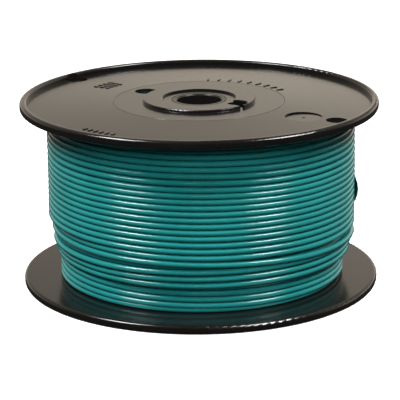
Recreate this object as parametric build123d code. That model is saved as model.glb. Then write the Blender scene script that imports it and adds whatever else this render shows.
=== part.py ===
"""A plastic spool of insulated electrical wire, standing on one flange.

Millimetres, +Z along the spool's axis, origin at the centre of the rim that it stands on.
Azimuth is measured about +Z from +X.  "Depth" is measured from the plane of a flange's
rim crest, inwards, towards the winding.
"""
from build123d import *
import math
import os

# --- driving dimensions: spool ------------------------------------------------------------
SPOOL_HEIGHT = 86.6         # from rim crest to rim crest
FLANGE_RADIUS = 82.5        # 6 1/2 in flange
FLANGE_DEPTH = 4.1          # rim crest to the face that the wire lies against
FACE_DEPTH_AT_HUB = 1.6     # outer face of the web, near the hub
FACE_DEPTH_AT_RIM = 2.4     # outer face of the web, at the foot of the rim

RIM_FOOT_RADIUS = 79.2      # inside wall of the rim bead
RIM_CREST_INNER = 80.3      # the flat crest that the spool stands on
RIM_CREST_OUTER = 81.0
RIM_LOWER_ROUND = 1.4       # round between the rim and the winding face

BOSS_RADIUS = 26.0          # raised ring round the arbor hole
BOSS_DEPTH = 0.2
BOSS_ROUND = 0.5
RECESS_RADIUS = 16.9        # sunken seat inside the boss
RECESS_DEPTH = 1.1
EDGE_BREAK = 0.35           # small bevel round the mouth of a hole or seat

PARTING_RING_RADIUS = 39.4  # fine mould line round the hub
PARTING_RING_WIDTH = 0.4
PARTING_RING_DEPTH = 0.2

BARREL_RADIUS = 24.0        # the tube that the wire is wound on
BARREL_WALL = 2.0
ARBOR_RADIUS = 10.3         # bore for the rod that the spool turns on
ARBOR_WALL = 2.0
ARBOR_BEVEL = 0.6
SEAT_GAP = 0.1              # glue gap between a tube and its seat
PLUG_WALL = 2.3             # moulded ring that the barrel slides over
PLUG_LENGTH = 9.0
HUB_RIBS = 6
HUB_RIB_THICKNESS = 1.6
HUB_RIB_FIRST_AZIMUTH = -2.6

# --- driving dimensions: holes and mould marks in the flanges ------------------------------
START_HOLE_RADIUS = 5.2     # just outside the barrel, for the wire's inner end
START_HOLE_CENTRE = 31.4
START_HOLE_AZIMUTH = 142.2
DRIVE_HOLE_RADIUS = 4.7     # through the boss
DRIVE_HOLE_CENTRE = 20.4
DRIVE_HOLE_AZIMUTH = -32.6
DRIVE_SLOT_WIDTH = 3.0      # slot from that hole through the boss's wall
DRIVE_SLOT_AZIMUTH = -41.0
RIM_HOLE_RADIUS = 4.8       # closed by a thin skin, to be pushed out for the wire's outer end
RIM_HOLE_SKIN = 0.5
RIM_HOLES = ((75.9, 140.5), (71.8, -32.2))      # centre radius, azimuth
GATE_DISH_RADIUS = 8.35     # shallow dish round the moulding gate
GATE_DISH_DEPTH = 0.5
GATE_DISH_CENTRE = 56.4
GATE_DISH_AZIMUTH = -34.6
GATE_DOT_RADIUS = 0.75
GATE_DOT_DEPTH = 0.5
MARK_HEIGHT = 0.35          # plain raised bars, as mould marks
MARK_SUNK = 0.4             # how far their feet reach into the web
# Each row of bars: radius, first azimuth, step, how many, length, width
MARK_ROWS = (
    (43.0, 84.0, -7.0, 9, 3.4, 0.9),
    (51.5, 137.0, 3.4, 4, 1.9, 1.3),
    (54.7, 137.0, 3.4, 4, 1.9, 1.3),
    (57.9, 137.0, 3.4, 4, 1.9, 1.3),
    (70.4, -135.0, 2.6, 6, 2.6, 0.8),
)
OVERCUT = 1.0               # how far a cut reaches past the face that it opens

# --- driving dimensions: wire --------------------------------------------------------------
WIRE_DIAMETER = 2.8
CONDUCTOR_DIAMETER = 1.9
LAYERS = 19
LAYER_PITCH = 2.467         # turns of one layer nest partly in the grooves of the last
INNER_LAYERS = 9            # layers 1 to 9, then 10 to 15, then 16 to 19
MIDDLE_LAYERS = 15
OUTER_LAYER_FOOT = 27.0     # the last layer stops this far above the floor
SECOND_LAYER_FOOT = 19.0
CUT_END_BARE = 0.6          # copper that shows past the insulation at a cut end
CUT_END_SOCKET = 4.0
START_TAIL_CENTRE = 29.8    # where the inner end stands in the start hole
START_TAIL_TIP = 1.2        # height of its end above the floor

TAIL_POINT_RADIUS = 73.5    # corners of the tail's route, just outside its arcs
TAIL_END_RADIUS = 72.9      # its two ends, which no arc cuts off
TAIL_ROUTE = (
    (147, 75.9), (134, 72.5), (118, 66.8), (102, 60.2), (87, 53.6), (74, 47.8),
    (63, 43.9), (52, 42.6), (40, 42.4), (28, 42.4), (16, 42.5),
)
TAIL_CORNER_SHARE = 0.45    # share of the shorter run beside a corner that its arc takes up

TAPE_WIDTH = 12.0
TAPE_THICKNESS = 0.3
TAPE_CLEARANCE = 0.3        # between the tape and the wire that it holds
TAPE_GAP = 0.05             # between the tape and the turns that it lies on
TAPE_LAP_ANGLE = 0.5        # how far its flat part runs into the tent
TAPE_HEIGHT = 42.5          # height of its middle above the floor
TAPE_FRONT_AZIMUTH = 1.0
TAPE_TENT_AZIMUTH = 11.0    # from here on it stands over the wire's tail
TAPE_BACK_AZIMUTH = 50.0

# --- sizes that follow ---------------------------------------------------------------------
WIND_FLOOR = FLANGE_DEPTH
WIND_CEILING = SPOOL_HEIGHT - FLANGE_DEPTH
SLEEVE_BORE = ARBOR_RADIUS + ARBOR_WALL + SEAT_GAP
SLEEVE_RADIUS = SLEEVE_BORE + PLUG_WALL
PLUG_RADIUS = BARREL_RADIUS - BARREL_WALL - SEAT_GAP
FIRST_LAYER_RADIUS = BARREL_RADIUS + WIRE_DIAMETER / 2


def layer_radius(layer):
    """Radius of the wire's centre in a layer, counted from 1 at the barrel."""
    return FIRST_LAYER_RADIUS + LAYER_PITCH * (layer - 1)


def outside_of(layer):
    """Outer radius of a layer."""
    return layer_radius(layer) + WIRE_DIAMETER / 2


def between(layer):
    """Radius halfway between a layer and the next."""
    return layer_radius(layer) + LAYER_PITCH / 2


def polar(radius, azimuth, z=0.0):
    """A point from its radius and its azimuth in degrees."""
    angle = math.radians(azimuth)
    return Vector(radius * math.cos(angle), radius * math.sin(angle), z)


def turned(outline, sweep=360):
    """Revolves a closed outline, drawn as radius and height, about the spool's axis."""
    return revolve(Plane.XZ * make_face(outline), Axis.Z, sweep)


def ring(inner, outer, low, high):
    """A plain tube about the spool's axis."""
    corners = [(inner, low), (outer, low), (outer, high), (inner, high)]
    return turned(Polyline(*corners, close=True))


def post(radius, centre, azimuth, low, high):
    """A cylinder that stands on a point given by radius and azimuth."""
    spot = polar(centre, azimuth, low)
    return Pos(spot.X, spot.Y, low) * extrude(Circle(radius), high - low)


# --- flanges -------------------------------------------------------------------------------
# A flange is drawn with its outside up and its rim crest at height 0, so that the heights
# in this section are depths with a minus sign.

def flange_outline():
    """Half of the flange's section, from the arbor sleeve out to the rim and back."""
    crest_round = RIM_CREST_INNER - RIM_FOOT_RADIUS
    rim_round = FLANGE_RADIUS - RIM_CREST_OUTER
    lower_round_start = RIM_LOWER_ROUND - FLANGE_DEPTH
    groove = PARTING_RING_WIDTH / 2
    outside = Polyline(
        (SLEEVE_BORE, -RECESS_DEPTH),
        (RECESS_RADIUS, -RECESS_DEPTH),
        (RECESS_RADIUS, -BOSS_DEPTH - EDGE_BREAK / 2),
        (RECESS_RADIUS + EDGE_BREAK, -BOSS_DEPTH),
        (BOSS_RADIUS - BOSS_ROUND, -BOSS_DEPTH),
    )
    boss_round = CenterArc((BOSS_RADIUS - BOSS_ROUND, -BOSS_DEPTH - BOSS_ROUND), BOSS_ROUND, 90, -90)
    face = Polyline(
        (BOSS_RADIUS, -BOSS_DEPTH - BOSS_ROUND),
        (BOSS_RADIUS, -FACE_DEPTH_AT_HUB + EDGE_BREAK / 2),
        (BOSS_RADIUS + EDGE_BREAK / 2, -FACE_DEPTH_AT_HUB),
        (PARTING_RING_RADIUS - groove, -FACE_DEPTH_AT_HUB),
        (PARTING_RING_RADIUS, -FACE_DEPTH_AT_HUB - PARTING_RING_DEPTH),
        (PARTING_RING_RADIUS + groove, -FACE_DEPTH_AT_HUB),
        (RIM_FOOT_RADIUS, -FACE_DEPTH_AT_RIM),
        (RIM_FOOT_RADIUS, -crest_round),
    )
    crest_in = CenterArc((RIM_CREST_INNER, -crest_round), crest_round, 180, -90)
    crest = Line((RIM_CREST_INNER, 0), (RIM_CREST_OUTER, 0))
    crest_out = CenterArc((RIM_CREST_OUTER, -rim_round), rim_round, 90, -90)
    wall = Line((FLANGE_RADIUS, -rim_round), (FLANGE_RADIUS, lower_round_start))
    lower = CenterArc((FLANGE_RADIUS - RIM_LOWER_ROUND, lower_round_start), RIM_LOWER_ROUND, 0, -90)
    plug_end = -FLANGE_DEPTH - PLUG_LENGTH
    inside = Polyline(
        (FLANGE_RADIUS - RIM_LOWER_ROUND, -FLANGE_DEPTH),
        (PLUG_RADIUS, -FLANGE_DEPTH),
        (PLUG_RADIUS, plug_end),
        (PLUG_RADIUS - PLUG_WALL, plug_end),
        (PLUG_RADIUS - PLUG_WALL, -FLANGE_DEPTH),
        (SLEEVE_RADIUS, -FLANGE_DEPTH),
        (SLEEVE_RADIUS, plug_end),
        (SLEEVE_BORE, plug_end),
        (SLEEVE_BORE, -RECESS_DEPTH),
    )
    return outside + boss_round + face + crest_in + crest + crest_out + wall + lower + inside


def hub_ribs():
    """Ribs that join the arbor sleeve to the ring inside the barrel."""
    inner_end = SLEEVE_RADIUS - PLUG_WALL / 2
    outer_end = PLUG_RADIUS - PLUG_WALL / 2
    rib = Box(outer_end - inner_end, HUB_RIB_THICKNESS, PLUG_LENGTH)
    rib = Pos((inner_end + outer_end) / 2, 0, -FLANGE_DEPTH - PLUG_LENGTH / 2) * rib
    return [Rot(0, 0, HUB_RIB_FIRST_AZIMUTH + 360 / HUB_RIBS * k) * rib for k in range(HUB_RIBS)]


def face_depth(radius):
    """Depth of the web's outer face at a radius, past the parting ring."""
    run = (radius - PARTING_RING_RADIUS) / (RIM_FOOT_RADIUS - PARTING_RING_RADIUS)
    return FACE_DEPTH_AT_HUB + max(run, 0) * (FACE_DEPTH_AT_RIM - FACE_DEPTH_AT_HUB)


def bored(radius, centre, azimuth, low, surface):
    """What to cut for a round hole whose mouth, at the height surface, is bevelled."""
    spot = polar(centre, azimuth, surface)
    mouth = Cone(radius, radius + EDGE_BREAK + OVERCUT, EDGE_BREAK + OVERCUT)
    mouth = Pos(spot.X, spot.Y, surface + (OVERCUT - EDGE_BREAK) / 2) * mouth
    return post(radius, centre, azimuth, low, surface + OVERCUT) + mouth


def raised_bar(radius, azimuth, length, width):
    """A plain raised bar on the web's outer face, pointing to the axis."""
    bar = Box(length, width, MARK_HEIGHT + MARK_SUNK)
    spot = polar(radius, azimuth, (MARK_HEIGHT - MARK_SUNK) / 2 - face_depth(radius))
    return Pos(*spot) * Rot(0, 0, azimuth) * bar


def mould_marks():
    """Rows of plain bars, in the places where such a moulding carries its marks."""
    bars = []
    for radius, first, step, count, length, width in MARK_ROWS:
        bars += [raised_bar(radius, first + step * k, length, width) for k in range(count)]
    return bars


def plain_flange():
    """The moulding, with the hole for the wire's inner end."""
    body = turned(flange_outline())
    body = body + hub_ribs()
    bottom = -FLANGE_DEPTH - OVERCUT
    start_hole = post(START_HOLE_RADIUS, START_HOLE_CENTRE, START_HOLE_AZIMUTH, bottom, OVERCUT)
    sleeve_mouth = post(SLEEVE_BORE + EDGE_BREAK, 0, 0, -RECESS_DEPTH - EDGE_BREAK, 0)
    return body - [start_hole, sleeve_mouth]


def drive_hole():
    """The hole through the boss, with the slot that opens it outwards."""
    bottom = -FLANGE_DEPTH - PLUG_LENGTH - OVERCUT
    hole = bored(DRIVE_HOLE_RADIUS, DRIVE_HOLE_CENTRE, DRIVE_HOLE_AZIMUTH, bottom, -BOSS_DEPTH)
    slot_length = BOSS_RADIUS + OVERCUT - DRIVE_HOLE_CENTRE
    slot_height = FACE_DEPTH_AT_HUB + OVERCUT
    middle = polar(DRIVE_HOLE_CENTRE + slot_length / 2, DRIVE_SLOT_AZIMUTH)
    slot = Box(slot_length, DRIVE_SLOT_WIDTH, slot_height)
    slot = Pos(middle.X, middle.Y, OVERCUT - slot_height / 2) * Rot(0, 0, DRIVE_SLOT_AZIMUTH) * slot
    return [hole, slot]


def gate_dish():
    """The shallow dish with a dot in it, where the plastic was let in."""
    floor = -face_depth(GATE_DISH_CENTRE) - GATE_DISH_DEPTH
    dish = post(GATE_DISH_RADIUS, GATE_DISH_CENTRE, GATE_DISH_AZIMUTH, floor, OVERCUT)
    dot_floor = floor - GATE_DOT_DEPTH
    dot = post(GATE_DOT_RADIUS, GATE_DISH_CENTRE, GATE_DISH_AZIMUTH, dot_floor, OVERCUT)
    return [dish, dot]


def rim_hole(centre, azimuth):
    """A blind hole near the rim.  Its outer side runs into the rim, where its bevel stays low."""
    hole = post(RIM_HOLE_RADIUS, centre, azimuth, -FLANGE_DEPTH + RIM_HOLE_SKIN, OVERCUT)
    spot = polar(centre, azimuth, EDGE_BREAK / 2 - face_depth(centre))
    bevel = Cone(RIM_HOLE_RADIUS - EDGE_BREAK, RIM_HOLE_RADIUS + EDGE_BREAK, 2 * EDGE_BREAK)
    return hole + Pos(*spot) * bevel


def top_flange():
    body = plain_flange() + mould_marks()
    rim_holes = [rim_hole(centre, azimuth) for centre, azimuth in RIM_HOLES]
    body = body - (drive_hole() + gate_dish() + rim_holes)
    return Pos(0, 0, SPOOL_HEIGHT) * body


def bottom_flange():
    return Rot(180, 0, 0) * plain_flange()


# --- tubes ---------------------------------------------------------------------------------

def barrel_tube():
    return ring(BARREL_RADIUS - BARREL_WALL, BARREL_RADIUS, WIND_FLOOR, WIND_CEILING)


def arbor_tube():
    """The bore's lining, with both its mouths bevelled."""
    low = RECESS_DEPTH
    high = SPOOL_HEIGHT - low
    outer = ARBOR_RADIUS + ARBOR_WALL
    return turned(Polyline(
        (ARBOR_RADIUS, low + ARBOR_BEVEL),
        (ARBOR_RADIUS + ARBOR_BEVEL, low),
        (outer, low),
        (outer, high),
        (ARBOR_RADIUS + ARBOR_BEVEL, high),
        (ARBOR_RADIUS, high - ARBOR_BEVEL),
        close=True,
    ))


# --- wire ----------------------------------------------------------------------------------
# The wire is one length.  Its turns are held here as three nested rings, each with the outer
# shape of its layers.

def inner_winding():
    return ring(BARREL_RADIUS, between(INNER_LAYERS), WIND_FLOOR, WIND_CEILING)


def middle_winding():
    return ring(between(INNER_LAYERS), between(MIDDLE_LAYERS), WIND_FLOOR, WIND_CEILING)


def outer_winding():
    """The last four layers: the top two of them stop short of the lower flange."""
    return turned(Polyline(
        (between(MIDDLE_LAYERS), WIND_FLOOR),
        (outside_of(LAYERS - 2), WIND_FLOOR),
        (outside_of(LAYERS - 2), SECOND_LAYER_FOOT),
        (outside_of(LAYERS - 1), SECOND_LAYER_FOOT),
        (outside_of(LAYERS - 1), OUTER_LAYER_FOOT),
        (outside_of(LAYERS), OUTER_LAYER_FOOT),
        (outside_of(LAYERS), WIND_CEILING),
        (between(MIDDLE_LAYERS), WIND_CEILING),
        close=True,
    ))


def copper_core(start, outward, sunk):
    """The conductor at a cut end, from inside the insulation to a little past it."""
    plane = Plane(origin=start, z_dir=outward)
    return extrude(plane * Circle(CONDUCTOR_DIAMETER / 2), sunk + CUT_END_BARE)


def start_tail():
    """The inner end, straight down into the lower flange's start hole."""
    mouth = polar(START_TAIL_CENTRE, -START_HOLE_AZIMUTH, WIND_FLOOR)
    length = WIND_FLOOR - START_TAIL_TIP
    tube = extrude(Plane(origin=mouth, z_dir=(0, 0, -1)) * Circle(WIRE_DIAMETER / 2), length)
    copper = copper_core(mouth, (0, 0, -1), length)
    return tube - copper, copper


def end_tail():
    """The outer end, lying on the last layer at the back, as runs joined by tangent arcs."""
    inner_corners = [polar(TAIL_POINT_RADIUS, azimuth, z) for azimuth, z in TAIL_ROUTE[1:-1]]
    first_end, last_end = [polar(TAIL_END_RADIUS, *TAIL_ROUTE[k]) for k in (0, -1)]
    points = [first_end] + inner_corners + [last_end]
    radii = []
    for before, here, after in zip(points, points[1:], points[2:]):
        first = here - before
        second = after - here
        half_turn = math.radians(first.get_angle(second)) / 2
        radii.append(TAIL_CORNER_SHARE * min(first.length, second.length) / math.tan(half_turn))
    path = FilletPolyline(*points, radius=radii)
    start = Plane(origin=path @ 0, z_dir=path % 0)
    tube = sweep(start * Circle(WIRE_DIAMETER / 2), path=path)
    outward = path % 1
    copper = copper_core(path @ 1 - outward * CUT_END_SOCKET, outward, CUT_END_SOCKET)
    section = math.pi * WIRE_DIAMETER ** 2 / 4
    print(f"tail: length {path.length:.1f} mm, arc radii {[round(radius) for radius in radii]}")
    print(f"tail: volume {tube.volume:.0f}, section times length {section * path.length:.0f}")
    return tube - copper, copper


def tape_section(over_wire):
    """The tape's section, flat on the turns or standing like a tent over the tail."""
    rest = outside_of(LAYERS)
    lift = WIRE_DIAMETER + TAPE_CLEARANCE if over_wire else 0
    half = TAPE_WIDTH / 2
    ridge = WIRE_DIAMETER / 2 + TAPE_CLEARANCE
    under = [(0, -half), (0, -2 * ridge), (lift, -ridge), (lift, ridge), (0, 2 * ridge), (0, half)]
    over = [(out + TAPE_THICKNESS, up) for out, up in reversed(under)]
    outline = [(rest + TAPE_GAP + out, TAPE_HEIGHT + up) for out, up in under + over]
    return Polyline(*outline, close=True)


def end_tape():
    """A strip of tape that runs round the winding and holds the outer end."""
    tent = turned(tape_section(True), TAPE_BACK_AZIMUTH - TAPE_TENT_AZIMUTH)
    flat = turned(tape_section(False), TAPE_TENT_AZIMUTH - TAPE_FRONT_AZIMUTH + TAPE_LAP_ANGLE)
    return Rot(0, 0, TAPE_TENT_AZIMUTH) * tent + Rot(0, 0, TAPE_FRONT_AZIMUTH) * flat


def main():
    wire_start, start_conductor = start_tail()
    wire_end, end_conductor = end_tail()
    nodes = {
        "top_flange": top_flange(),
        "bottom_flange": bottom_flange(),
        "barrel_tube": barrel_tube(),
        "arbor_tube": arbor_tube(),
        "inner_winding": inner_winding(),
        "middle_winding": middle_winding(),
        "outer_winding": outer_winding(),
        "wire_start": wire_start,
        "start_conductor": start_conductor,
        "wire_end": wire_end,
        "end_conductor": end_conductor,
        "end_tape": end_tape(),
    }
    os.makedirs("parts", exist_ok=True)
    for name, shape in nodes.items():
        export_step(shape, f"parts/{name}.step")
        print(name, f"{shape.volume:.0f} mm3", len(shape.solids()), "solid(s)")


main()
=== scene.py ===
# %% [markdown]
# # A spool of insulated electrical wire
# A shop sells building wire on a moulded plastic spool like this one: two rimmed flanges, a
# barrel between them, an arbor tube for a rod, and one long wire wound round and round.
# The hard parts are already exact solids from a CAD model.  This lesson loads them, winds the
# wire turn by turn as a real curve, tapes down its end, and gives everything its finish.
# Lengths are in metres, and heights start at the floor.

# %% Load the spool
import math
import random

import bpy
from mathutils import Matrix, Quaternion, Vector


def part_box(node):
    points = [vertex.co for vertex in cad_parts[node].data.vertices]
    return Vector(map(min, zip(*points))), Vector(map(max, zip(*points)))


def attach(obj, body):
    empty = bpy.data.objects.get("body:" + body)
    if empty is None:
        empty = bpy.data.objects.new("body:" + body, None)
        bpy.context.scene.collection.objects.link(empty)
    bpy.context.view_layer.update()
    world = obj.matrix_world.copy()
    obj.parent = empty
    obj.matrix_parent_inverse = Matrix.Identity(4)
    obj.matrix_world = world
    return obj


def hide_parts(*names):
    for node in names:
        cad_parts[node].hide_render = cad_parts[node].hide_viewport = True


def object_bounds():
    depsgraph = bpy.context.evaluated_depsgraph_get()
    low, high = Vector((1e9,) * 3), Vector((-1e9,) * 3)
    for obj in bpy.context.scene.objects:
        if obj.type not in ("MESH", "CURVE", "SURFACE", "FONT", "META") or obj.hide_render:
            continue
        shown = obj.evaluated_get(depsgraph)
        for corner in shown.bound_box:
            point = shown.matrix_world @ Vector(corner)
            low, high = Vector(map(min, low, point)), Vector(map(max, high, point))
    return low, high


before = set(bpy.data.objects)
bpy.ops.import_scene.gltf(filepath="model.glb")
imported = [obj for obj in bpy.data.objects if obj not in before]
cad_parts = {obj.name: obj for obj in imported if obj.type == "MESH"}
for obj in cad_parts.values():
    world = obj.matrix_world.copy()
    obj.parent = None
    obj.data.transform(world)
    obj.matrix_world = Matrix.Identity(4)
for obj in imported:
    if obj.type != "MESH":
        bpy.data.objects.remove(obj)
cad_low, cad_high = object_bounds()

print("spool box in mm:", [round(1000 * v, 1) for v in (*cad_low, *cad_high)])

# %% [markdown]
# The CAD boxes give the sizes that the rest builds on.  The outer winding's box holds the
# outside of the last layer, and the space between the flanges.  Reading them from the model,
# and not typing them in, keeps the wire between its flanges if the model changes.

# %% Sizes from the model
MM = 0.001
wind_low, wind_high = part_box("outer_winding")
barrel_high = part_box("barrel_tube")[1]
WIND_FLOOR, WIND_CEILING = wind_low.z, wind_high.z
WIND_RADIUS = wind_high.x
BARREL_RADIUS = barrel_high.x
SPOOL_HEIGHT = cad_high.z
print(f"winding space {WIND_FLOOR / MM:.1f} to {WIND_CEILING / MM:.1f} mm")
print(f"barrel radius {BARREL_RADIUS / MM:.1f} mm")

# %% [markdown]
# ## The camera
# A product shot like this is taken from well back with a long lens, so that the two flanges
# look almost the same size.  The camera stands in front, a little above, and its lens is
# shifted a touch to seat the spool in the frame.  A long lens from far away is the honest way
# to get flat perspective, where an orthographic camera would lose it altogether.

# %% Place the camera
CAMERA_PLACE = Vector((0, -0.9153, 0.3022))
CAMERA_AIM = Vector((0, 0, 0.040))
CAMERA_ROLL = -0.0097
CAMERA_LENS = 183.85
CAMERA_SHIFT = -0.0145

camera_data = bpy.data.cameras.new("Camera")
camera_data.lens = CAMERA_LENS
camera_data.sensor_width = 36
camera_data.shift_y = CAMERA_SHIFT
camera_data.clip_start, camera_data.clip_end = 0.05, 50
camera = bpy.data.objects.new("Camera", camera_data)
bpy.context.scene.collection.objects.link(camera)
bpy.context.scene.camera = camera
aim = (CAMERA_AIM - CAMERA_PLACE).to_track_quat("-Z", "Y")
camera.rotation_mode = "QUATERNION"
camera.rotation_quaternion = aim @ Quaternion((0, 0, 1), CAMERA_ROLL)
camera.location = CAMERA_PLACE
print(f"camera {(CAMERA_AIM - CAMERA_PLACE).length:.3f} m from its aim")

# %% [markdown]
# ## The wire
# The real wire is one length of about 150 m, wound in 19 layers.  It could be faked with a
# ribbed texture on a drum, or with a stack of separate rings.  A ribbed drum has no real
# gaps, and rings don't climb from turn to turn.  Here the wire is one line that a machine
# could follow: round and round at a steady pitch, up a layer at each flange, and back.
#
# A line is kept as a list of stations.  Each says how many turns the wire has made so far,
# how far it is from the axis, and how high it is.  Between stations both change evenly.

# %% Stations of a full layer
WIRE_DIAMETER = 2.8 * MM
DRAWN_DIAMETER = 2.66 * MM          # a hair thinner, for a dark line between turns
LAYER_PITCH = 2.467 * MM            # a layer sinks partly into the grooves of the last
TURNS_A_LAYER = 28                  # the last of them climbs to the next layer
LAYERS_IN_INNER, LAYERS_IN_MIDDLE, LAYERS_IN_OUTER = 9, 6, 2
LOWEST_TURN = WIND_FLOOR + WIRE_DIAMETER / 2
HIGHEST_TURN = WIND_CEILING - WIRE_DIAMETER / 2


def layer_radius(layer):
    """Distance of the wire's centre from the axis, in a layer counted from 1."""
    return BARREL_RADIUS + WIRE_DIAMETER / 2 + LAYER_PITCH * (layer - 1)


def full_layers(first, count):
    """Stations of whole layers.  Odd ones go up and even ones come down."""
    stations = []
    for k in range(count):
        layer = first + k
        start, end = (LOWEST_TURN, HIGHEST_TURN) if layer % 2 else (HIGHEST_TURN, LOWEST_TURN)
        turn = TURNS_A_LAYER * k
        stations.append((turn, layer_radius(layer), start))
        stations.append((turn + TURNS_A_LAYER - 1, layer_radius(layer), end))
    return stations


def between_stations(stations, turn):
    """Radius and height at a number of turns."""
    for (t0, r0, z0), (t1, r1, z1) in zip(stations, stations[1:]):
        if turn <= t1:
            share = (turn - t0) / (t1 - t0)
            return r0 + (r1 - r0) * share, z0 + (z1 - z0) * share
    return stations[-1][1:]


print("layer radii in mm:", [round(layer_radius(k) / MM, 1) for k in (1, 10, 16, 19)])

# %% [markdown]
# No winding is perfect.  The turns sway a little up and down and in and out as the machine
# shakes, they tilt by about a millimetre as a whole, and layer by layer the coil grows a bit
# lopsided.  The sway is a sum of slow waves round the spool.  It changes only a little from one
# turn to the next, so neighbours move together.  Nothing here tests for room, though, and some
# turns do overlap: a simulation of the wire would have to push them apart first.

# %% Unevenness of the winding
START_AZIMUTH = 178.0               # degrees; the winding then runs clockwise, seen from above
LOPSIDED = 0.7 * MM                 # how far the outermost layer is off-centre, to the right
TILT_BOW, TILT_SIDE = 0.9 * MM, -0.2 * MM
random.seed(14)
WAVE_LOBES = (2, 3, 5, 8)
WAVES = [(n, random.uniform(0, 2 * math.pi), random.uniform(-0.5, 0.5)) for n in WAVE_LOBES]
WAVE_SIZE = 0.055 * MM
STEADY_AT_FLOOR, STEADY_AT_CEILING = 14 * MM, 10 * MM      # where the unevenness fades out


def smooth_step(value, low, high):
    """0 up to low, 1 from high on, and an even curve between."""
    share = min(1.0, max(0.0, (value - low) / (high - low)))
    return share * share * (3 - 2 * share)


def sway(angle, turn, phase_shift):
    """A small unevenness, in metres, at an angle in radians."""
    waves = [math.sin(n * angle + phase + phase_shift + drift * turn) for n, phase, drift in WAVES]
    return WAVE_SIZE * sum(waves)


def free_of_flanges(z):
    """0 at either flange, where a turn lies flat against it, and 1 well away from both."""
    above_floor = smooth_step(z, WIND_FLOOR, WIND_FLOOR + STEADY_AT_FLOOR)
    below_ceiling = smooth_step(-z, -WIND_CEILING, STEADY_AT_CEILING - WIND_CEILING)
    return above_floor * below_ceiling


def wire_point(turn, radius, z):
    """A point of the wire, with the winding's unevenness."""
    angle = math.radians(START_AZIMUTH - 360 * turn)
    depth = (radius - BARREL_RADIUS) / (WIND_RADIUS - BARREL_RADIUS)
    front = angle + math.pi / 2
    tilt = TILT_BOW * (math.cos(front) - 1) + TILT_SIDE * math.sin(front)
    z = z + (tilt * depth + sway(angle, turn, 0)) * free_of_flanges(z)
    radius = radius + sway(angle, turn, 2)
    return Vector((radius * math.cos(angle) + LOPSIDED * depth, radius * math.sin(angle), z))


print("largest sway in mm:", round(WAVE_SIZE * len(WAVES) / MM, 2))

# %% [markdown]
# A NURBS curve is drawn through none of its points: it cuts inside them, and with few points a
# turn it cuts more.  So each radius is first divided by the share that is left, which for a
# curve of order 3 is (3 + cos(360 / points a turn)) / 4.  The line is then as smooth as a wire
# pulled tight.  The curve's bevel is 1 m, and each point's radius scales it down to the wire's,
# because Blender grows a curve's box by the radius of its points.  The wire is drawn a hair
# thinner than its nominal size, which leaves a dark line between one turn and the next.

# %% Turn a line into a round wire
def coil_points(stations, points_a_turn):
    """Control points of a coil along its stations."""
    kept = (3 + math.cos(2 * math.pi / points_a_turn)) / 4
    steps = round(stations[-1][0] * points_a_turn)
    points = []
    for step in range(steps + 1):
        turn = step / points_a_turn
        radius, z = between_stations(stations, turn)
        point = wire_point(turn, radius, z)
        points.append(Vector((point.x / kept, point.y / kept, point.z)))
    return points


def round_wire(name, points, steps, facets):
    """A wire of one smooth open spline."""
    data = bpy.data.curves.new(name, "CURVE")
    data.dimensions = "3D"
    data.bevel_depth = 1.0
    data.bevel_resolution = facets // 4 - 1
    data.resolution_u = steps
    data.use_fill_caps = True
    data.twist_mode = "Z_UP"
    spline = data.splines.new("NURBS")
    spline.points.add(len(points) - 1)
    for spot, point in zip(spline.points, points):
        spot.co = (*point, 1)
        spot.radius = DRAWN_DIAMETER / 2
    spline.order_u = 3
    spline.use_endpoint_u = True
    spline.use_smooth = True
    wire = bpy.data.objects.new(name, data)
    bpy.context.scene.collection.objects.link(wire)
    return wire


def line_length(points):
    """Length of a line of points."""
    return sum((b - a).length for a, b in zip(points, points[1:]))


# %% [markdown]
# The inner end comes first.  It stands in the lower flange's hole, bends over inside the
# winding, and joins the first turn on the barrel.  Nine layers follow, and then six more.
# They are hidden by the rest, so they get fewer facets than the layers in view, but they are
# real turns: what shows through a hole is wire.

# %% Inner and middle layers
START_HOLE_AZIMUTH = -142.2
START_END_RADIUS = 29.8 * MM
START_END_TIP = 1.2 * MM


def around(radius, azimuth, z):
    """A point from its radius, its azimuth in degrees, and its height."""
    angle = math.radians(azimuth)
    return Vector((radius * math.cos(angle), radius * math.sin(angle), z))


lead_in = [
    around(START_END_RADIUS, START_HOLE_AZIMUTH, START_END_TIP),
    around(START_END_RADIUS, START_HOLE_AZIMUTH, 3.4 * MM),
    around(29.6 * MM, START_HOLE_AZIMUTH - 1, 5.4 * MM),
    around(29.0 * MM, START_HOLE_AZIMUTH - 6, 6.6 * MM),
    around(27.8 * MM, START_HOLE_AZIMUTH - 15, 6.4 * MM),
    around(26.6 * MM, START_HOLE_AZIMUTH - 26, 5.8 * MM),
]
HIDDEN_POINTS_A_TURN = 12
inner_line = full_layers(1, LAYERS_IN_INNER)
inner_turns = TURNS_A_LAYER * LAYERS_IN_INNER
inner_line.append((inner_turns, layer_radius(LAYERS_IN_INNER + 1), inner_line[-1][2]))
inner_points = lead_in + coil_points(inner_line, HIDDEN_POINTS_A_TURN)
inner_wire = round_wire("inner_layers_of_wire", inner_points, steps=2, facets=8)

middle_first = LAYERS_IN_INNER + 1
middle_line = full_layers(middle_first, LAYERS_IN_MIDDLE)
middle_turns = TURNS_A_LAYER * LAYERS_IN_MIDDLE
next_radius = layer_radius(middle_first + LAYERS_IN_MIDDLE)
middle_line.append((middle_turns, next_radius, middle_line[-1][2]))
middle_points = coil_points(middle_line, HIDDEN_POINTS_A_TURN)
middle_wire = round_wire("middle_layers_of_wire", middle_points, steps=2, facets=8)
for name, points in (("inner", inner_points), ("middle", middle_points)):
    print(f"{name} control line: {line_length(points):.1f} m")

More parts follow.
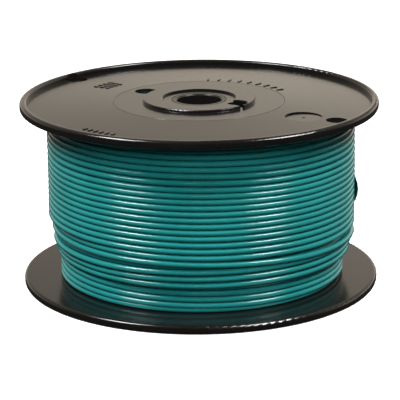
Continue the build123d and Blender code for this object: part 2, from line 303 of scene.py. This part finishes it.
# %% [markdown]
# The outer layers are the ones in view.  Layers 16 and 17 are full.  Layer 18 comes down but
# stops well above the lower flange, with its last turns spread, and then the wire crosses
# over itself at the back and starts layer 19, which goes up.  So the coil has a waist near
# its foot, in two uneven steps, and that is what tells a hand-stopped coil from a drawn one.
# The crossing is a weak spot of this model.  A real wire climbs over the turns below it, and
# this one cuts through them, by up to 2 mm, on the side that the camera doesn't see.

# %% Outer layers
OUTER_FIRST = LAYERS_IN_INNER + LAYERS_IN_MIDDLE + 1
FRONT_SHARE = (START_AZIMUTH + 90) / 360        # share of a turn, from the start to the front
OUTER_POINTS_A_TURN = 24

outer_line = full_layers(OUTER_FIRST, LAYERS_IN_OUTER)
second_last = layer_radius(OUTER_FIRST + 2)
last = layer_radius(OUTER_FIRST + 3)
turn = TURNS_A_LAYER * LAYERS_IN_OUTER
outer_line.append((turn, second_last, HIGHEST_TURN))
# layer 18, counted in turns from its start: down to its last turn at the front
outer_line.append((turn + 19 + FRONT_SHARE, second_last, 26.3 * MM))
outer_line.append((turn + 20 + FRONT_SHARE, second_last + 1.4 * MM, 23.9 * MM))
outer_line.append((turn + 21 + FRONT_SHARE, second_last + 0.8 * MM, 20.7 * MM))
outer_line.append((turn + 22 + FRONT_SHARE, second_last + 0.3 * MM, 17.5 * MM))
outer_line.append((turn + 23.02, second_last, 17.4 * MM))
# over the back and up on to layer 19, whose turns are a little closer or wider in places
outer_line.append((turn + 23.25, last, 21.5 * MM))
for passed, height in ((23, 27.9), (27, 39.6), (32, 53.4), (35, 61.5), (37, 67.6), (41, 79.0)):
    outer_line.append((turn + passed + FRONT_SHARE, last, height * MM))
LAST_TURN = turn + 42
outer_line.append((LAST_TURN, last, 79.3 * MM))

# %% [markdown]
# The outer end leaves the top turn at the back, lies across the coil, and runs in under the
# tape.  Its points are listed one by one, as far apart as the bends allow.

# %% The wire's outer end
END_CENTRE = Vector((LOPSIDED, 0, 0))
END_ROUTE = (
    (164, 71.2, 78.6), (147, 73.3, 75.9), (134, 73.5, 72.5), (118, 73.5, 66.8), (102, 73.5, 60.2),
    (87, 73.5, 53.6), (74, 73.4, 47.8), (63, 73.3, 43.9), (52, 73.2, 42.6), (40, 73.2, 42.4),
    (28, 73.1, 42.4), (16, 72.9, 42.5),
)
tail_points = [around(r * MM, azimuth, z * MM) + END_CENTRE for azimuth, r, z in END_ROUTE]
outer_points = coil_points(outer_line, OUTER_POINTS_A_TURN) + tail_points
outer_wire = round_wire("outer_layers_of_wire", outer_points, steps=3, facets=12)
print(f"control line: outer {line_length(outer_points):.1f} m, {len(outer_points)} points")

# %% [markdown]
# On the left side the last layers sag inwards, because the layer below them has gaps there.
# How deep they sag depends on the height: most of all in the foot of the coil.  It is simplest
# to push the points in after they are made, by their height and azimuth.  This follows the
# outline only: it doesn't ask whether the layer below leaves that much room.

# %% Sag of the last turns on the left
SAG_AZIMUTH, SAG_FULL, SAG_WIDTH = 186.0, 20.0, 75.0        # degrees
SAG_BY_HEIGHT = (                               # height and depth, mm
    (10, 0), (14, 0.6), (17.5, 2.0), (20.7, 1.6), (24, 0.3), (26.5, 1.6), (31.5, 1.7), (33.5, 0),
)


def sag_of_height(z):
    """Depth of the sag at a height, between the few heights where it is known."""
    stations = [(height * MM, depth * MM) for height, depth in SAG_BY_HEIGHT]
    for (z0, d0), (z1, d1) in zip(stations, stations[1:]):
        if z0 <= z <= z1:
            return d0 + (d1 - d0) * (z - z0) / (z1 - z0)
    return 0.0


def sag_at(point):
    """How far a point of the outer layers is pushed towards the axis."""
    radius = math.hypot(point.x, point.y)
    azimuth = math.degrees(math.atan2(point.y, point.x)) % 360
    near = 1 - smooth_step(abs(azimuth - SAG_AZIMUTH), SAG_FULL, SAG_WIDTH)
    outer_share = smooth_step(radius, last - 3 * LAYER_PITCH, last)
    return sag_of_height(point.z) * near * outer_share


pushed = 0
for spot in outer_wire.data.splines[0].points:
    place = Vector(spot.co[:3])
    depth = sag_at(place)
    if depth > 0:
        radius = math.hypot(place.x, place.y)
        spot.co = (place.x * (1 - depth / radius), place.y * (1 - depth / radius), place.z, 1)
        pushed += 1
print("points pushed in:", pushed)

# %% [markdown]
# Each wire stands for the plain CAD rings and rides on the spool's one body.

def spline_length(wire):
    """Length of a curve object's own line, in metres."""
    return wire.data.splines[0].calc_length()


STANDS_FOR = {
    inner_wire: ("inner_winding", "wire_start"),
    middle_wire: ("middle_winding",),
    outer_wire: ("outer_winding", "wire_end"),
}
for wire, nodes in STANDS_FOR.items():
    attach(wire, "root")
    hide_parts(*nodes)
    print(f"{wire.name}: {spline_length(wire):.2f} m")

# %% [markdown]
# ## Copper at the cut ends
# This gauge of wire has 19 fine strands, one in the middle, six round it and twelve outside.
# At a clean cut they stand out of the insulation by half a millimetre.  One capped cylinder
# would look like a nail, so every strand is its own rod with a rounded tip.

# %% Strand ends
import bmesh

STRAND_RADIUS = 0.18 * MM
STRAND_RINGS = ((0, 1), (0.37, 6), (0.72, 12))      # distance from the middle in mm, how many
STRAND_FACETS = 10
BARE = 0.6 * MM                                     # how far the strands stand out


def strand_ends(name, mouth, outward, bare, buried):
    """The strands at a cut end, from inside the insulation to just past it."""
    mesh = bmesh.new()
    for distance, count in STRAND_RINGS:
        for k in range(count):
            angle = 2 * math.pi * k / count
            reach = bare * random.uniform(0.8, 1.1)
            rings = []
            profile = (
                (-buried, 1.0),
                (reach - STRAND_RADIUS * 0.6, 1.0),
                (reach - STRAND_RADIUS * 0.15, 0.8),
                (reach, 0.35),
            )
            for height, width in profile:
                ring = []
                for f in range(STRAND_FACETS):
                    around_strand = 2 * math.pi * f / STRAND_FACETS
                    half = STRAND_RADIUS * width
                    x = distance * MM * math.cos(angle) + half * math.cos(around_strand)
                    y = distance * MM * math.sin(angle) + half * math.sin(around_strand)
                    ring.append(mesh.verts.new((x, y, height)))
                rings.append(ring)
            for low, high in zip(rings, rings[1:]):
                for f in range(STRAND_FACETS):
                    g = (f + 1) % STRAND_FACETS
                    mesh.faces.new((low[f], low[g], high[g], high[f]))
            mesh.faces.new(rings[-1])
            mesh.faces.new(list(reversed(rings[0])))
    for face in mesh.faces:
        face.smooth = len(face.verts) == 4
    data = bpy.data.meshes.new(name)
    mesh.to_mesh(data)
    mesh.free()
    place = Matrix.Translation(mouth) @ outward.to_track_quat("Z", "Y").to_matrix().to_4x4()
    data.transform(place)
    strands = bpy.data.objects.new(name, data)
    bpy.context.scene.collection.objects.link(strands)
    return strands


start_mouth = lead_in[0]
down = Vector((0, 0, -1))
start_copper = strand_ends("copper_at_inner_end", start_mouth, down, BARE, 2.0 * MM)
end_mouth = tail_points[-1]
along = (tail_points[-1] - tail_points[-2]).normalized()
end_copper = strand_ends("copper_at_outer_end", end_mouth, along, BARE, 3.0 * MM)
for strands, node in ((start_copper, "start_conductor"), (end_copper, "end_conductor")):
    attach(strands, "root")
    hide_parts(node)
    print(strands.name, len(strands.data.polygons), "faces")

# %% [markdown]
# ## The tape
# A strip of vinyl tape holds the wire's end.  It lies on the tops of the turns, sinks a little
# into the grooves between them, stands like a tent over the wire's end, and its free front
# end has let go and bulges out.  A flat strip bent round a cylinder would float, so each
# point's height is worked out from what lies under it.

# %% Shape of the tape
TAPE_WIDTH, TAPE_MIDDLE, TAPE_THICKNESS = 12 * MM, 42.5 * MM, 0.15 * MM
TAPE_FRONT, TAPE_BACK = -2.0, 50.0               # azimuth, degrees
TAPE_ALONG, TAPE_ACROSS = 90, 48
LET_GO_FROM = 9.0                                # azimuth where the free end starts to lift
BULGE = 1.45 * MM
GROOVE_SAG = 0.16 * MM
TURN_SPACING = 2.76 * MM


def tail_height(azimuth):
    """Height of the wire's end at an azimuth, from its route."""
    stations = [(a, z * MM) for a, _, z in END_ROUTE]
    for (a0, z0), (a1, z1) in zip(stations, stations[1:]):
        if a1 <= azimuth <= a0:
            return z0 + (z1 - z0) * (a0 - azimuth) / (a0 - a1)
    return stations[-1][1]


def tape_radius(azimuth, z):
    """Distance of the tape's underside from the coil's own axis."""
    rest = last + WIRE_DIAMETER / 2 + 0.12 * MM
    turn_phase = 2 * math.pi * (z - TAPE_MIDDLE) / TURN_SPACING
    flat = rest - GROOVE_SAG * (0.5 - 0.5 * math.cos(turn_phase))
    across = (z - TAPE_MIDDLE) / (TAPE_WIDTH / 2)
    loose = max(0.0, (LET_GO_FROM - azimuth) / (LET_GO_FROM - TAPE_FRONT)) ** 1.6
    flat += BULGE * loose * (1 - across * across)
    beside = abs(z - tail_height(azimuth))
    over_wire = 2.95 * MM - 0.62 * MM * (beside / (1.3 * MM)) ** 2
    slope = 2.33 * MM * (1 - (beside - 1.3 * MM) / (2.6 * MM))
    tent = over_wire if beside < 1.3 * MM else slope
    tent *= smooth_step(azimuth, 8.5, 15.0)
    return max(flat, rest + tent)


def tape_strip(name):
    """The strip as a thin closed sheet."""
    mesh = bmesh.new()
    sides = []
    for lift in (0, TAPE_THICKNESS):
        grid = []
        for i in range(TAPE_ALONG + 1):
            azimuth = TAPE_FRONT + (TAPE_BACK - TAPE_FRONT) * i / TAPE_ALONG
            row = []
            for j in range(TAPE_ACROSS + 1):
                edge_wave = 0.12 * MM * math.sin(azimuth * 0.9) if j in (0, TAPE_ACROSS) else 0
                z = TAPE_MIDDLE + TAPE_WIDTH * (j / TAPE_ACROSS - 0.5) + edge_wave
                radius = tape_radius(azimuth, z) + lift
                row.append(mesh.verts.new(around(radius, azimuth, z) + END_CENTRE))
            grid.append(row)
        sides.append(grid)
    under, over = sides
    for i in range(TAPE_ALONG):
        for j in range(TAPE_ACROSS):
            mesh.faces.new((over[i][j], over[i + 1][j], over[i + 1][j + 1], over[i][j + 1]))
            mesh.faces.new((under[i][j], under[i][j + 1], under[i + 1][j + 1], under[i + 1][j]))
    for i in range(TAPE_ALONG):
        mesh.faces.new((under[i][0], under[i + 1][0], over[i + 1][0], over[i][0]))
        mesh.faces.new((under[i + 1][-1], under[i][-1], over[i][-1], over[i + 1][-1]))
    for j in range(TAPE_ACROSS):
        mesh.faces.new((under[0][j + 1], under[0][j], over[0][j], over[0][j + 1]))
        mesh.faces.new((under[-1][j], under[-1][j + 1], over[-1][j + 1], over[-1][j]))
    for face in mesh.faces:
        face.smooth = True
    data = bpy.data.meshes.new(name)
    mesh.to_mesh(data)
    mesh.free()
    data.shade_smooth()
    strip = bpy.data.objects.new(name, data)
    bpy.context.scene.collection.objects.link(strip)
    return strip


tape = tape_strip("tape_over_wire_end")
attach(tape, "root")
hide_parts("end_tape")

# %% [markdown]
# ## Finishes
# Every finish is made from the shader and a few noise textures in the object's own space, so
# it needs no unwrapping and no pictures.  Two helpers keep the node code short: one adds a
# node, and one adds a noise texture whose size is given in millimetres.

# %% Helpers for finishes
def new_finish(name):
    """A material with its shader and its node tree."""
    material = bpy.data.materials.new(name)
    material.use_nodes = True
    tree = material.node_tree
    return material, tree, tree.nodes["Principled BSDF"]


def feed(tree, socket, value):
    """Gives a socket a value, or links it to another socket."""
    if isinstance(value, bpy.types.NodeSocket):
        tree.links.new(value, socket)
    else:
        socket.default_value = value


def add(tree, kind, **inputs):
    """A node of a kind, with the values or links of its named inputs."""
    node = tree.nodes.new(kind)
    for name, value in inputs.items():
        feed(tree, node.inputs[name.replace("_", " ")], value)
    return node


def object_space(tree, stretch=(1, 1, 1)):
    """Object coordinates, squeezed or stretched along each axis."""
    place = add(tree, "ShaderNodeTexCoord").outputs["Object"]
    mapping = add(tree, "ShaderNodeMapping", Vector=place)
    mapping.inputs["Scale"].default_value = stretch
    return mapping.outputs["Vector"]


def noise(tree, space, size, detail=3.0, rough=0.55):
    """Cloudy noise, whose patches are about size metres across."""
    node = add(tree, "ShaderNodeTexNoise", Vector=space, Scale=1 / size, Detail=detail)
    node.inputs["Roughness"].default_value = rough
    return node.outputs["Fac"]


def spread(tree, value, low, high, to_low, to_high):
    """Maps a value from one range to another, and clamps it."""
    node = add(tree, "ShaderNodeMapRange", Value=value)
    limits = (low, high, to_low, to_high)
    for socket, limit in zip(("From Min", "From Max", "To Min", "To Max"), limits):
        node.inputs[socket].default_value = limit
    return node.outputs["Result"]


def blend_colour(tree, share, first, second):
    """A mix of two colours; each is a value or a link."""
    node = tree.nodes.new("ShaderNodeMix")
    node.data_type = "RGBA"
    for index, value in ((0, share), (6, first), (7, second)):
        feed(tree, node.inputs[index], value)
    return node.outputs[2]


def times(tree, first, second):
    """The product of two numbers; each is a value or a link."""
    node = tree.nodes.new("ShaderNodeMath")
    node.operation = "MULTIPLY"
    feed(tree, node.inputs[0], first)
    feed(tree, node.inputs[1], second)
    return node.outputs[0]


def bumps(tree, height, distance, strength, onto=None):
    """A bump of a height in metres, on top of another one."""
    node = add(tree, "ShaderNodeBump", Height=height, Distance=distance, Strength=strength)
    if onto is not None:
        tree.links.new(onto, node.inputs["Normal"])
    return node.outputs["Normal"]


def rgb(red, green, blue):
    """A colour with full opacity."""
    return (red, green, blue, 1)


# %% [markdown]
# **Insulation.**  Soft vinyl, drawn through a die while hot: glossy, a deep blue-green, with
# faint lines from the die and dull smudges where turns have rubbed.  Its colour drifts a
# little along the wire.  The gloss comes from the shader's own reflection, kept moderate so
# that the colour stays deep.

# %% Wire insulation
insulation, tree, shader = new_finish("teal_insulation")
space = object_space(tree)
drift = spread(tree, noise(tree, space, 28 * MM), 0.35, 0.65, 0, 1)
flecks = spread(tree, noise(tree, space, 0.9 * MM, detail=4), 0.62, 0.78, 0, 1)
base = blend_colour(tree, drift, rgb(0.009, 0.165, 0.162), rgb(0.013, 0.195, 0.190))
colour = blend_colour(tree, flecks, base, rgb(0.006, 0.21, 0.205))
tree.links.new(colour, shader.inputs["Base Color"])
rubbed = spread(tree, noise(tree, space, 5 * MM, detail=5), 0.45, 0.75, 0.15, 0.25)
tree.links.new(rubbed, shader.inputs["Roughness"])
die_lines = noise(tree, object_space(tree, (0.15, 0.15, 1)), 0.16 * MM, detail=2)
skin = noise(tree, space, 1.6 * MM, detail=3)
normal = bumps(tree, die_lines, 0.01 * MM, 0.15)
normal = bumps(tree, skin, 0.03 * MM, 0.2, onto=normal)
tree.links.new(normal, shader.inputs["Normal"])
shader.inputs["IOR"].default_value = 1.45
for wire in (inner_wire, middle_wire, outer_wire):
    wire.data.materials.append(insulation)
print("insulation on three lengths of wire")

# %% [markdown]
# **Copper.**  Drawn, slightly dulled strands: a metal with a warm colour and some tarnish.

# %% Copper
copper, tree, shader = new_finish("drawn_copper")
space = object_space(tree)
tarnish = spread(tree, noise(tree, space, 0.5 * MM, detail=4), 0.4, 0.7, 0, 1)
colour = blend_colour(tree, tarnish, rgb(0.80, 0.42, 0.25), rgb(0.42, 0.20, 0.12))
tree.links.new(colour, shader.inputs["Base Color"])
tree.links.new(spread(tree, tarnish, 0, 1, 0.22, 0.48), shader.inputs["Roughness"])
tree.links.new(bumps(tree, noise(tree, space, 0.08 * MM), 0.01 * MM, 0.5), shader.inputs["Normal"])
shader.inputs["Metallic"].default_value = 1.0
for strands in (start_copper, end_copper):
    strands.data.materials.append(copper)

# %% [markdown]
# **Tape.**  Thin stretched vinyl: darker than the wire, glossy, with a fine orange-peel skin
# and small creases.

# %% Tape
vinyl, tree, shader = new_finish("green_vinyl_tape")
space = object_space(tree)
patch = spread(tree, noise(tree, space, 6 * MM), 0.35, 0.65, 0, 1)
colour = blend_colour(tree, patch, rgb(0.010, 0.19, 0.15), rgb(0.016, 0.23, 0.185))
tree.links.new(colour, shader.inputs["Base Color"])
dull = spread(tree, noise(tree, space, 2.5 * MM, detail=5), 0.4, 0.7, 0.25, 0.42)
tree.links.new(dull, shader.inputs["Roughness"])
peel = bumps(tree, noise(tree, space, 0.35 * MM), 0.02 * MM, 0.5)
creases = noise(tree, object_space(tree, (1, 1, 0.25)), 1.2 * MM, detail=2)
tree.links.new(bumps(tree, creases, 0.05 * MM, 0.3, onto=peel), shader.inputs["Normal"])
tape.data.materials.append(vinyl)

# %% [markdown]
# **Flange plastic.**  Black moulded polystyrene with a very fine texture.  Seen at a low angle
# it mirrors the bright backdrop and turns warm grey, and where it faces the dark side of the
# room it is black.  So its own colour stays almost black, and the grey is left to the
# reflection.  A grey base colour would look the same from every side, and would be wrong
# from above.  Handling leaves a little dust in fine specks.

# %% Flange and tube plastic
def black_plastic(name, roughness, grain, dust_share):
    """Moulded black plastic; grain is the size of its texture."""
    material, tree, shader = new_finish(name)
    space = object_space(tree)
    cloud = spread(tree, noise(tree, space, 22 * MM, detail=4), 0.35, 0.7, 0, 1)
    speck = spread(tree, noise(tree, space, 0.7 * MM, detail=4), 0.60, 0.75, 0, 1)
    base = blend_colour(tree, cloud, rgb(0.0042, 0.0038, 0.0034), rgb(0.0062, 0.0055, 0.0048))
    colour = blend_colour(tree, times(tree, speck, dust_share), base, rgb(0.050, 0.046, 0.040))
    tree.links.new(colour, shader.inputs["Base Color"])
    smooth, rough = roughness - 0.02, roughness + 0.02
    dull = spread(tree, noise(tree, space, 2 * MM, detail=6), 0.3, 0.7, smooth, rough)
    tree.links.new(dull, shader.inputs["Roughness"])
    texture = bumps(tree, noise(tree, space, grain, detail=2), 0.012 * MM, 0.25)
    tree.links.new(texture, shader.inputs["Normal"])
    shader.inputs["IOR"].default_value = 1.5
    return material


flange_plastic = black_plastic("black_flange_plastic", 0.18, 0.45 * MM, 0.25)
tube_plastic = black_plastic("black_tube_plastic", 0.30, 0.8 * MM, 0.15)
FINISH_OF_NODE = {
    "top_flange": flange_plastic,
    "bottom_flange": flange_plastic,
    "barrel_tube": tube_plastic,
    "arbor_tube": tube_plastic,
}
for node, finish in FINISH_OF_NODE.items():
    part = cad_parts[node]
    part.data.materials.clear()
    part.data.materials.append(finish)
    print(node, len(part.data.vertices), "vertices", len(part.data.polygons), "faces")

# %% [markdown]
# ## Floor and light
# A white sweep lies under and behind the spool.  Two softboxes stand in front, one to each
# side and well above: they draw the two bright streaks on the wire.  A third lamp fills the
# front.  It is kept out of reflections, so it lights the colour of the wire and adds no third
# streak.  In the world's shader the camera sees plain white, and everything else sees a room
# that is dim in front and bright at the back.

# %% Floor
FLOOR_SIZE = 3.0
floor_mesh = bpy.data.meshes.new("floor")
half = FLOOR_SIZE / 2
corners = [(-half, -half, 0), (half, -half, 0), (half, half, 0), (-half, half, 0)]
floor_mesh.from_pydata(corners, [], [(0, 1, 2, 3)])
floor = bpy.data.objects.new("floor", floor_mesh)
bpy.context.scene.collection.objects.link(floor)
white, tree, shader = new_finish("white_sweep")
shader.inputs["Base Color"].default_value = rgb(0.9, 0.9, 0.9)
shader.inputs["Roughness"].default_value = 0.9
shader.inputs["Emission Color"].default_value = rgb(1, 1, 1)
shader.inputs["Emission Strength"].default_value = 0.35
floor_mesh.materials.append(white)
floor.visible_glossy = False
floor.visible_diffuse = False


# %% Softboxes and room
def softbox(name, azimuth, elevation, distance, size, power):
    """A square lamp aimed at the winding's middle.  Azimuth 0 is in front, positive is right."""
    data = bpy.data.lights.new(name, "AREA")
    data.shape = "SQUARE"
    data.size = size
    data.energy = power
    lamp = bpy.data.objects.new(name, data)
    bpy.context.scene.collection.objects.link(lamp)
    a, e = math.radians(azimuth), math.radians(elevation)
    aim_point = Vector((0, 0, SPOOL_HEIGHT / 2))
    way = Vector((math.sin(a) * math.cos(e), -math.cos(a) * math.cos(e), math.sin(e)))
    lamp.location = aim_point + way * distance
    lamp.rotation_mode = "QUATERNION"
    lamp.rotation_quaternion = (-way).to_track_quat("-Z", "Y")
    return lamp


# azimuth and elevation in degrees, distance and size in metres, power in watts
softbox("softbox_left", azimuth=-67, elevation=50, distance=1.6, size=0.55, power=31)
softbox("softbox_right", azimuth=67, elevation=50, distance=1.6, size=0.55, power=29)
fill = softbox("low_front_fill", azimuth=0, elevation=30, distance=1.8, size=0.7, power=21)
fill.visible_glossy = False
fill.data.specular_factor = 0.0

DIM_ROOM, WARM_BACKDROP = rgb(0.045, 0.045, 0.046), rgb(1.25, 1.10, 0.91)

world = bpy.data.worlds.new("studio")
bpy.context.scene.world = world
world.use_nodes = True
tree = world.node_tree
background = tree.nodes["Background"]
direction = add(tree, "ShaderNodeTexCoord").outputs["Generated"]
axes = add(tree, "ShaderNodeSeparateXYZ", Vector=direction)
towards_back = spread(tree, axes.outputs["Y"], -0.15, 0.6, 0, 1)
above_floor = spread(tree, axes.outputs["Z"], -0.06, 0.05, 0, 1)
# the backdrop's light falls off towards its top and towards the left
higher_up = spread(tree, axes.outputs["Z"], 0.20, 0.30, 1, 0.45)
to_the_right = spread(tree, axes.outputs["X"], -0.09, 0.09, 0.69, 1)
backdrop = towards_back
for fade in (above_floor, higher_up, to_the_right):
    backdrop = times(tree, backdrop, fade)
room = blend_colour(tree, backdrop, DIM_ROOM, WARM_BACKDROP)
seen = add(tree, "ShaderNodeLightPath").outputs["Is Camera Ray"]
tree.links.new(blend_colour(tree, seen, room, rgb(1, 1, 1)), background.inputs["Color"])
background.inputs["Strength"].default_value = 1.0

bpy.context.scene.view_settings.view_transform = "Standard"
bpy.context.scene.view_settings.look = "None"
